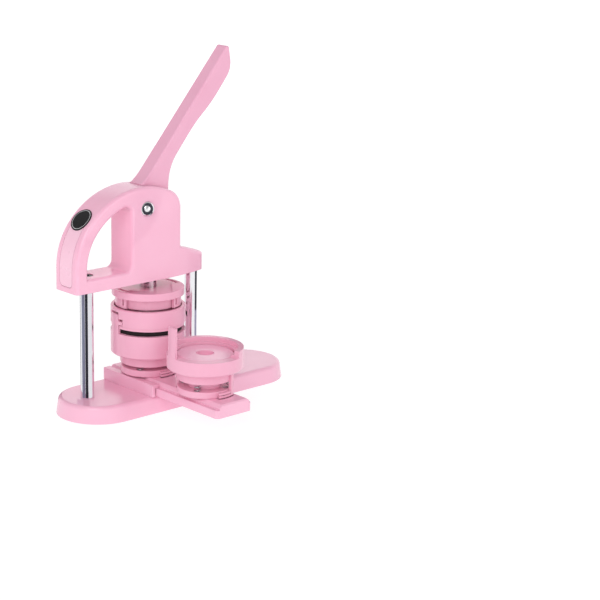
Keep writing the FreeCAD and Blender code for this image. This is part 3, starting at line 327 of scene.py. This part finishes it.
# %% Tube in front of the pivot bolt
def snoot(name, around, aside, radius, start, length, sides, cloth):
    """A short open tube that stands in front of a piece."""
    low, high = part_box(around)
    centre = (low + high) / 2 + Vector(aside)
    angles = [2 * math.pi * step / sides for step in range(sides)]
    rim = [(centre.x + radius * math.cos(a), centre.z + radius * math.sin(a)) for a in angles]
    near, far = low.y - start, low.y - start - length
    points = [(x, near, z) for x, z in rim] + [(x, far, z) for x, z in rim]
    faces = [(k, (k + 1) % sides, sides + (k + 1) % sides, sides + k) for k in range(sides)]
    mirror_only(name, points, faces, cloth)


tube_radius = 0.058
tube_length = 0.055
snoot(
    "flag_snoot",
    around="pivot_bolt",
    aside=(-0.030, 0.0, 0.016),
    radius=tube_radius,
    start=0.004,
    length=tube_length,
    sides=24,
    cloth=black_cloth,
)
print("tube:", in_mm(2 * tube_radius), "mm wide and", in_mm(tube_length), "mm long")

# %% [markdown]
# ## Starting a finish
#
# Each finish is a node material read in the object's own coordinates, so it stays on the piece when the
# piece moves. Pictures of plastic and metal could be wrapped round the pieces instead, but they show seams
# and blur close up. Two helpers hold what every finish begins with.

# %% Starting a finish
def new_finish(name):
    """A fresh node material and its main shader."""
    finish = bpy.data.materials.new(name)
    finish.use_nodes = True
    tree = finish.node_tree
    return finish, tree, tree.nodes["Principled BSDF"]


def stretched_place(tree, stretch=(1.0, 1.0, 1.0)):
    """Object coordinates, stretched along the axes."""
    place = tree.nodes.new("ShaderNodeTexCoord")
    mapping = tree.nodes.new("ShaderNodeMapping")
    mapping.inputs["Scale"].default_value = stretch
    tree.links.new(place.outputs["Object"], mapping.inputs["Vector"])
    return mapping.outputs["Vector"]


print("helpers made: new_finish, stretched_place")

# %% [markdown]
# ## Uneven tones
#
# No real surface is even. A noise gives every point of a piece a number, mostly near the middle of its
# range, and that number is spread here over a range of roughness or over two colours. Spots painted by
# hand could be placed better, but they need unwrapping and stop at the edge of the picture.

# %% Uneven tones
noise_low = 0.3
noise_high = 0.7


def noise(tree, place, grain, detail):
    """A noise whose spots are about one grain (in metres) wide."""
    spots = tree.nodes.new("ShaderNodeTexNoise")
    spots.inputs["Scale"].default_value = 1.0 / grain
    spots.inputs["Detail"].default_value = detail
    tree.links.new(place, spots.inputs["Vector"])
    return spots.outputs["Fac"]


def between(tree, value, low, high):
    """Spread a noise over a range of numbers."""
    spread = tree.nodes.new("ShaderNodeMapRange")
    spread.inputs["From Min"].default_value = noise_low
    spread.inputs["From Max"].default_value = noise_high
    spread.inputs["To Min"].default_value = low
    spread.inputs["To Max"].default_value = high
    tree.links.new(value, spread.inputs["Value"])
    return spread.outputs["Result"]


def two_tone(tree, value, low, high):
    """Blend two colours by a noise."""
    blend = tree.nodes.new("ShaderNodeValToRGB")
    blend.color_ramp.elements[0].position = noise_low
    blend.color_ramp.elements[0].color = (*low, 1.0)
    blend.color_ramp.elements[1].position = noise_high
    blend.color_ramp.elements[1].color = (*high, 1.0)
    tree.links.new(value, blend.inputs["Fac"])
    return blend.outputs["Color"]


print("noises are spread from", noise_low, "to", noise_high)

# %% [markdown]
# ## Fine relief and soft edges
#
# The skin of a moulding and the grain of rubber are too fine to model: as real geometry they would need
# millions of faces. A bump only tilts the light, which is enough at this size. A bevel node rounds the
# sharp edges in the same way, for the light alone.

# %% Fine relief and soft edges
def soft_edges(tree, radius):
    """A normal that rounds every sharp edge by a small radius."""
    bevel = tree.nodes.new("ShaderNodeBevel")
    bevel.samples = 6
    bevel.inputs["Radius"].default_value = radius
    return bevel.outputs["Normal"]


def relief(tree, value, depth, strength, normal=None):
    """Turn a noise into a bump of a given depth in metres, on top of a normal."""
    bump = tree.nodes.new("ShaderNodeBump")
    if normal:
        tree.links.new(normal, bump.inputs["Normal"])
    bump.inputs["Distance"].default_value = depth
    bump.inputs["Strength"].default_value = strength
    tree.links.new(value, bump.inputs["Height"])
    return bump.outputs["Normal"]


print("helpers made: soft_edges, relief")

# %% [markdown]
# ## Pink mouldings
#
# Nearly everything on the press is injection-moulded plastic in a soft pink. One flat colour would be the
# quickest, but a moulding is not flat colour: the melt leaves faint clouds, the tool leaves a very fine
# orange-peel skin, and the gloss changes a little from place to place. Three noises of different sizes
# give those three effects, and rounded edges catch the light, because no mould makes them truly sharp.

# %% Moulded plastic
cloud_grain = 0.045
smear_grain = 0.012
skin_depth = 0.00004
skin_strength = 0.15
edge_radius = 0.0005


def moulded(name, deep, light, peel, roughness, shine):
    """Injection-moulded plastic: clouded colour, orange-peel skin and uneven gloss."""
    finish, tree, shader = new_finish(name)
    place = stretched_place(tree)
    clouds = noise(tree, place, cloud_grain, detail=2.0)
    tree.links.new(two_tone(tree, clouds, deep, light), shader.inputs["Base Color"])
    smears = noise(tree, place, smear_grain, detail=4.0)
    uneven = between(tree, smears, low=roughness - 0.04, high=roughness + 0.05)
    tree.links.new(uneven, shader.inputs["Roughness"])
    skin = noise(tree, place, peel, detail=2.0)
    rounded = soft_edges(tree, edge_radius)
    tree.links.new(relief(tree, skin, skin_depth, skin_strength, rounded), shader.inputs["Normal"])
    shader.inputs["Subsurface Weight"].default_value = 0.08
    shader.inputs["Subsurface Radius"].default_value = (1.0, 0.8, 0.85)
    shader.inputs["Subsurface Scale"].default_value = 0.001
    shader.inputs["Specular IOR Level"].default_value = shine
    return finish


# finish, deep colour, light colour, peel in metres, roughness, shine
body_pink = moulded("moulded_pink", (0.91, 0.475, 0.63), (0.935, 0.51, 0.665), 0.0011, 0.20, 0.55)
# The lever's deeper pink is painted shade: the lever stands high, where less light reaches it.
lever_painted_shade_pink = moulded("lever_painted_shade_pink", (0.82, 0.41, 0.56), (0.845, 0.44, 0.59), 0.0011, 0.20, 0.55)
# The die pieces' deeper pink is painted shade, which keeps their fronts darker than the head's.
die_painted_shade_pink = moulded("die_painted_shade_pink", (0.86, 0.425, 0.57), (0.885, 0.46, 0.60), 0.0008, 0.22, 0.35)
# The strip's paler pink is painted sheen, for the light it catches from the left.
strip_painted_sheen_pink = moulded("strip_painted_sheen_pink", (0.925, 0.55, 0.69), (0.945, 0.59, 0.72), 0.0006, 0.30, 0.55)
print("pinks:", body_pink.name, lever_painted_shade_pink.name, die_painted_shade_pink.name, strip_painted_sheen_pink.name)

# %% [markdown]
# ## Pieces in pink
#
# The base, head, rails, tray and die cores are of one pink. The lever and the other die pieces are a
# little deeper, which is painted shade, and the cover strip on the arch is paler, which is painted sheen,
# and duller. One pink could serve for all of them and leave the rest to the lamps, but separate pinks come
# closer to the photograph.

# %% Pieces in pink
def dress(finish, *names):
    """Give a finish to CAD pieces."""
    for name in names:
        piece = nodes[name]
        piece.data.materials.clear()
        piece.data.materials.append(finish)
    print(finish.name, "on", len(names), "pieces")


dress(body_pink, "base_shell", "head_body", "left_guide_rail", "right_guide_rail", "die_tray")
dress(body_pink, "die_a_core", "die_b_core")
dress(lever_painted_shade_pink, "lever_handle")
dress(die_painted_shade_pink, "die_a_flange", "die_a_sleeve", "die_a_ring", "die_b_flange", "die_b_sleeve")
dress(die_painted_shade_pink, "upper_die_plate", "upper_die_skirt", "upper_die_cup", "upper_die_pusher")
dress(strip_painted_sheen_pink, "arch_cover_strip")

# %% [markdown]
# ## Plated posts, ram and screws
#
# The bright parts are ground steel with a polished plating. Grinding leaves fine rings round the bar. A
# stretched highlight in the shader could hint at them, but a noise that is squeezed along the bar, short
# that way and long around it, draws the rings themselves. The ram's plating is a little darker than the
# posts', which is painted shade for its place under the head. The screws share the finish in duller tones,
# and those sunk in the head are near black, which is painted shade for their deep recesses.

# %% Plated posts, ram and screws
grind_grain = 0.004
grind_depth = 0.00001
grind_strength = 0.1
grind_shade = 0.93
grind_dulling = 0.07


def plated(name, tone, stretch, roughness):
    """Polished plating over ground steel."""
    finish, tree, shader = new_finish(name)
    shader.inputs["Metallic"].default_value = 1.0
    grind = noise(tree, stretched_place(tree, stretch), grind_grain, detail=5.0)
    darker = tuple(grind_shade * part for part in tone)
    tree.links.new(two_tone(tree, grind, darker, tone), shader.inputs["Base Color"])
    uneven = between(tree, grind, roughness, roughness + grind_dulling)
    tree.links.new(uneven, shader.inputs["Roughness"])
    tree.links.new(relief(tree, grind, grind_depth, grind_strength), shader.inputs["Normal"])
    return finish


# finish, colour, squeeze along X, Y and Z, roughness
post_plating = plated("post_plating", (0.86, 0.86, 0.89), (1.0, 1.0, 22.0), 0.05)
# The ram's darker tone is painted shade for its place under the head.
ram_painted_shade_steel = plated("ram_painted_shade_steel", (0.80, 0.80, 0.82), (1.0, 1.0, 22.0), 0.12)
bolt_plating = plated("bolt_plating", (0.84, 0.84, 0.86), (1.0, 14.0, 1.0), 0.08)
screw_zinc = plated("screw_zinc", (0.58, 0.59, 0.61), (1.0, 1.0, 6.0), 0.24)
# The near-black tone is painted shade for the screws sunk deep in the head.
screw_painted_shade = plated("screw_painted_shade", (0.05, 0.045, 0.05), (1.0, 1.0, 6.0), 0.34)
dress(post_plating, "left_post", "right_post")
dress(ram_painted_shade_steel, "ram_shaft")
dress(bolt_plating, "pivot_bolt", "pivot_cap_nut")
dress(screw_painted_shade, "upper_post_bolts")
dress(screw_zinc, "lower_post_bolts", "guide_rail_screws", "tray_stop_pin")
dress(screw_zinc, "ram_collar", "ram_clip", "upper_die_screw", "die_a_screw", "die_b_screw")

# %% [markdown]
# ## Bronze bushes
#
# The lever and the ram run in bushes of sintered bronze, pressed from powder, so they are dull and
# slightly porous. Colour, gloss and relief could each have a noise of their own. One noise sets all three
# instead, so that a pore is dark, dull and deep in the same place.

# %% Bronze bushes
def bronze():
    """Sintered bronze: brown-gold metal with dark pores."""
    finish, tree, shader = new_finish("bush_bronze")
    shader.inputs["Metallic"].default_value = 1.0
    pores = noise(tree, stretched_place(tree), grain=0.0006, detail=6.0)
    tone = two_tone(tree, pores, low=(0.35, 0.22, 0.10), high=(0.66, 0.46, 0.24))
    tree.links.new(tone, shader.inputs["Base Color"])
    tree.links.new(between(tree, pores, low=0.5, high=0.35), shader.inputs["Roughness"])
    tree.links.new(relief(tree, pores, depth=0.00005, strength=0.3), shader.inputs["Normal"])
    return finish


dress(bronze(), "ram_bush", "lever_bush")

# %% [markdown]
# ## Black rubber
#
# The mat under the base is rubber sheet with a fine pressed grain. Plain black would be simpler, but it
# loses its shape in the shadow. The grain lifts the tone a little and breaks up the shine, again with one
# noise for colour, gloss and relief.

# %% Black rubber
def rubber():
    """Black rubber with a fine pressed grain."""
    finish, tree, shader = new_finish("black_rubber")
    grain = noise(tree, stretched_place(tree), grain=0.0009, detail=5.0)
    tone = two_tone(tree, grain, low=(0.009, 0.007, 0.008), high=(0.022, 0.018, 0.020))
    tree.links.new(tone, shader.inputs["Base Color"])
    tree.links.new(between(tree, grain, low=0.65, high=0.85), shader.inputs["Roughness"])
    tree.links.new(relief(tree, grain, depth=0.0002, strength=0.5), shader.inputs["Normal"])
    shader.inputs["Specular IOR Level"].default_value = 0.25
    return finish


black_rubber = rubber()
dress(black_rubber, "anti_slip_mat")

# %% [markdown]
# ## Measuring the round label
#
# The label on the arch is a disc with a plain thin ring near its edge. The ring could be a picture, but a
# picture needs unwrapping. Here every point is measured from the label's own axis instead, and the axis
# comes from the label's box.

# %% Measuring the round label
label_low, label_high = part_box("round_label")
label_centre = (label_low + label_high) / 2
label_radius = (label_high.y - label_low.y) / 2
# The label lies on a slope, which is the diagonal of its box seen from the front.
label_axis = Vector((label_low.z - label_high.z, 0.0, label_high.x - label_low.x)).normalized()


def distance_from_axis(tree, place, centre, axis):
    """How far each point is from a line through a centre."""
    offset = tree.nodes.new("ShaderNodeVectorMath")
    offset.operation = "SUBTRACT"
    offset.inputs[1].default_value = centre
    tree.links.new(place, offset.inputs[0])
    across = tree.nodes.new("ShaderNodeVectorMath")
    across.operation = "CROSS_PRODUCT"
    across.inputs[1].default_value = axis
    tree.links.new(offset.outputs["Vector"], across.inputs[0])
    distance = tree.nodes.new("ShaderNodeVectorMath")
    distance.operation = "LENGTH"
    tree.links.new(across.outputs["Vector"], distance.inputs[0])
    return distance.outputs["Value"]


print("label:", in_mm(2 * label_radius), "mm across")

# %% [markdown]
# ## Label film
#
# The label is thin black film. Its ring could be a second piece laid on the first, but two faces so close
# together flicker. So the film is one finish, and the points at one distance from the axis are pale.

# %% Label film
# The Mix node's sockets for colours share their names with others, so they are told by number.
mix_first = 6
mix_second = 7
mix_result = 2
ring_share = 0.87
ring_width = 0.0006


def label_film(centre, axis, ring_radius):
    """Black film with a plain pale ring round an axis."""
    finish, tree, shader = new_finish("label_film")
    place = stretched_place(tree)
    ring = tree.nodes.new("ShaderNodeMath")
    ring.operation = "COMPARE"
    ring.inputs[1].default_value = ring_radius
    ring.inputs[2].default_value = ring_width / 2
    tree.links.new(distance_from_axis(tree, place, centre, axis), ring.inputs[0])
    tone = tree.nodes.new("ShaderNodeMix")
    tone.data_type = "RGBA"
    tree.links.new(ring.outputs["Value"], tone.inputs["Factor"])
    dust = noise(tree, place, grain=0.002, detail=4.0)
    film = two_tone(tree, dust, low=(0.008, 0.008, 0.009), high=(0.016, 0.016, 0.018))
    tree.links.new(film, tone.inputs[mix_first])
    tone.inputs[mix_second].default_value = (0.55, 0.55, 0.57, 1.0)
    tree.links.new(tone.outputs[mix_result], shader.inputs["Base Color"])
    tree.links.new(between(tree, dust, low=0.3, high=0.4), shader.inputs["Roughness"])
    shader.inputs["Specular IOR Level"].default_value = 0.12
    return finish


dress(label_film(label_centre, label_axis, ring_share * label_radius), "round_label")

# %% [markdown]
# ## Spring wire
#
# The springs are wound from drawn steel wire, which is darker than the plated parts and has fine lines.
# The plating could be used again, but it is too bright and smooth for wire.

# %% Spring wire
def spring_wire():
    """Drawn spring steel: dark, with fine lines."""
    finish, tree, shader = new_finish("spring_wire")
    shader.inputs["Metallic"].default_value = 1.0
    lines = noise(tree, stretched_place(tree, (1.0, 1.0, 4.0)), grain=0.0012, detail=5.0)
    tone = two_tone(tree, lines, low=(0.34, 0.34, 0.36), high=(0.66, 0.66, 0.68))
    tree.links.new(tone, shader.inputs["Base Color"])
    tree.links.new(between(tree, lines, low=0.16, high=0.28), shader.inputs["Roughness"])
    return finish


spring_finish = spring_wire()
print("wire finish:", spring_finish.name)

# %% [markdown]
# ## Path of a spring
#
# A real compression spring has closed ends: the first and last turns lie against each other so that the
# spring stands flat. A screw modifier could wind an even coil, but not one whose pitch changes at its
# ends. So the path is worked out point by point from a formula.

# %% Path of a spring
closed_turns = 1.0
closed_pitch = 1.04
steps_per_turn = 20


def coil_points(centre, radius, wire, low, high, turns):
    """Points of a compression spring with a closed turn at each end."""
    start = low + wire / 2
    end = high - wire / 2
    closed_rise = wire * closed_pitch
    open_rise = (end - start - 2 * closed_turns * closed_rise) / turns
    points = []
    for step in range(int((turns + 2 * closed_turns) * steps_per_turn) + 1):
        wound = step / steps_per_turn
        opened = min(max(wound - closed_turns, 0.0), turns)
        height = start + (wound - opened) * closed_rise + opened * open_rise
        angle = 2 * math.pi * wound
        x = centre.x + radius * math.cos(angle)
        y = centre.y + radius * math.sin(angle)
        points.append((x, y, height))
    return points


print("closed turns at each end:", closed_turns, "with", steps_per_turn, "points per turn")

# %% [markdown]
# ## Winding the wire
#
# A spring is one round wire bent along its path. Rings of points could be joined by hand, but a curve with
# a round bevel does that for any path and closes the two cut ends. It is turned into a mesh afterwards, so
# that it can be exported like any other piece.

# %% Winding the wire
def wind(name, centres, radius, wire, low, high, turns):
    """One mesh that holds a coil round each centre."""
    curve = bpy.data.curves.new(name, "CURVE")
    curve.dimensions = "3D"
    curve.bevel_depth = wire / 2
    curve.bevel_resolution = 3
    curve.use_fill_caps = True
    for centre in centres:
        points = coil_points(centre, radius, wire, low, high, turns)
        spline = curve.splines.new("POLY")
        spline.points.add(len(points) - 1)
        for point, place in zip(spline.points, points):
            point.co = (*place, 1.0)
    bent = bpy.data.objects.new(name + "_curve", curve)
    bpy.context.scene.collection.objects.link(bent)
    evaluated = bent.evaluated_get(bpy.context.evaluated_depsgraph_get())
    mesh = bpy.data.meshes.new_from_object(evaluated)
    bpy.data.objects.remove(bent)
    mesh.name = name
    mesh.polygons.foreach_set("use_smooth", [True] * len(mesh.polygons))
    mesh.materials.clear()
    mesh.materials.append(spring_finish)
    coil = bpy.data.objects.new(name, mesh)
    bpy.context.scene.collection.objects.link(coil)
    return coil


print("helper made: wind")

# %% [markdown]
# ## Springs in their places
#
# Four small springs stand between the foot and the sleeve of each die, and a large one in the head lifts
# the ram. The engineering springs are open all the way, so each is wound again with the same seat, roof,
# width and wire, and with closed ends. A spring could be drawn anew for each pose. Here each is wound once,
# rides on its body and takes the place of the engineering spring, which is hidden.

# %% Springs in their places
def ring_of(centre, radius, count, first_angle):
    """Points spread evenly on a circle."""
    angles = [math.radians(first_angle + 360.0 * step / count) for step in range(count)]
    return [centre + Vector((radius * math.cos(a), radius * math.sin(a), 0.0)) for a in angles]


spring_plan = [
    # node, body, joint, circle radius, springs, coil radius, wire, turns
    ("die_a_springs", "tray", "sleeve_a_slide", 0.0230, 4, 0.0029, 0.0012, 3.0),
    ("die_b_springs", "tray", "sleeve_b_slide", 0.0230, 4, 0.0029, 0.0012, 4.0),
    ("return_spring", "frame", "ram_slide", 0.0, 1, 0.0120, 0.0022, 3.5),
]
first_spring_angle = 30.0
for node, body, joint, circle, count, radius, wire, turns in spring_plan:
    low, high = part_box(node)
    centres = ring_of((low + high) / 2, circle, count, first_spring_angle)
    coil = wind("wound_" + node, centres, radius, wire, low.z, high.z, turns)
    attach(coil, body)
    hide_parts(node)
    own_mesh(coil)

# %% [markdown]
# ## Outline of the rubber ring
#
# Die A's pressing ring rides on a black rubber ring. Rubber that carries a load swells a little at half
# height. A plain ring could be swollen with a lattice, but a barrel outline gives the same form with one
# sine and four sizes.

# %% Outline of the rubber ring
def barrel_outline(inner, outer, low, high, swell, count):
    """Closed outline of (radius, height) points with a swollen outer and inner face."""
    steps = [step / count for step in range(count + 1)]
    heights = [low + (high - low) * step for step in steps]
    bulges = [swell * math.sin(math.pi * step) for step in steps]
    outside = [(outer - swell + bulge, height) for bulge, height in zip(bulges, heights)]
    inside = [(inner + swell - bulge, height) for bulge, height in zip(bulges, heights)]
    return outside + inside[::-1]


rubber_wall = 0.005
rubber_swell = 0.0006
outline_steps = 8
low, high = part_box("die_a_ring_springs")
rubber_outer = (high.x - low.x) / 2
rubber_inner = rubber_outer - rubber_wall
outline = barrel_outline(rubber_inner, rubber_outer, low.z, high.z, rubber_swell, outline_steps)
print("outline:", len(outline), "points, swollen by", in_mm(rubber_swell), "mm")

# %% [markdown]
# ## Rubber ring in its place
#
# The outline is turned round the die's upright axis. A screw modifier could turn it too, but faces that are
# written out join the last step to the first without a seam. The ring rides on die A's sleeve and takes the
# place of the engineering part, which is hidden.

# %% Rubber ring in its place
def turn_ring(name, centre, outline, segments):
    """A ring turned from an outline round an upright axis."""
    points = []
    for step in range(segments):
        angle = 2 * math.pi * step / segments
        cosine, sine = math.cos(angle), math.sin(angle)
        points += [(centre.x + r * cosine, centre.y + r * sine, z) for r, z in outline]
    size = len(outline)
    faces = []
    for step in range(segments):
        here, there = step * size, (step + 1) % segments * size
        for k in range(size):
            after = (k + 1) % size
            faces.append((here + k, there + k, there + after, here + after))
    mesh = bpy.data.meshes.new(name)
    mesh.from_pydata(points, [], faces)
    mesh.polygons.foreach_set("use_smooth", [True] * len(mesh.polygons))
    mesh.materials.append(black_rubber)
    ring = bpy.data.objects.new(name, mesh)
    bpy.context.scene.collection.objects.link(ring)
    return ring


ring_segments = 96
rubber_ring = turn_ring("rubber_ring", (low + high) / 2, outline, ring_segments)
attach(rubber_ring, "sleeve_a")
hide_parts("die_a_ring_springs")
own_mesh(rubber_ring)
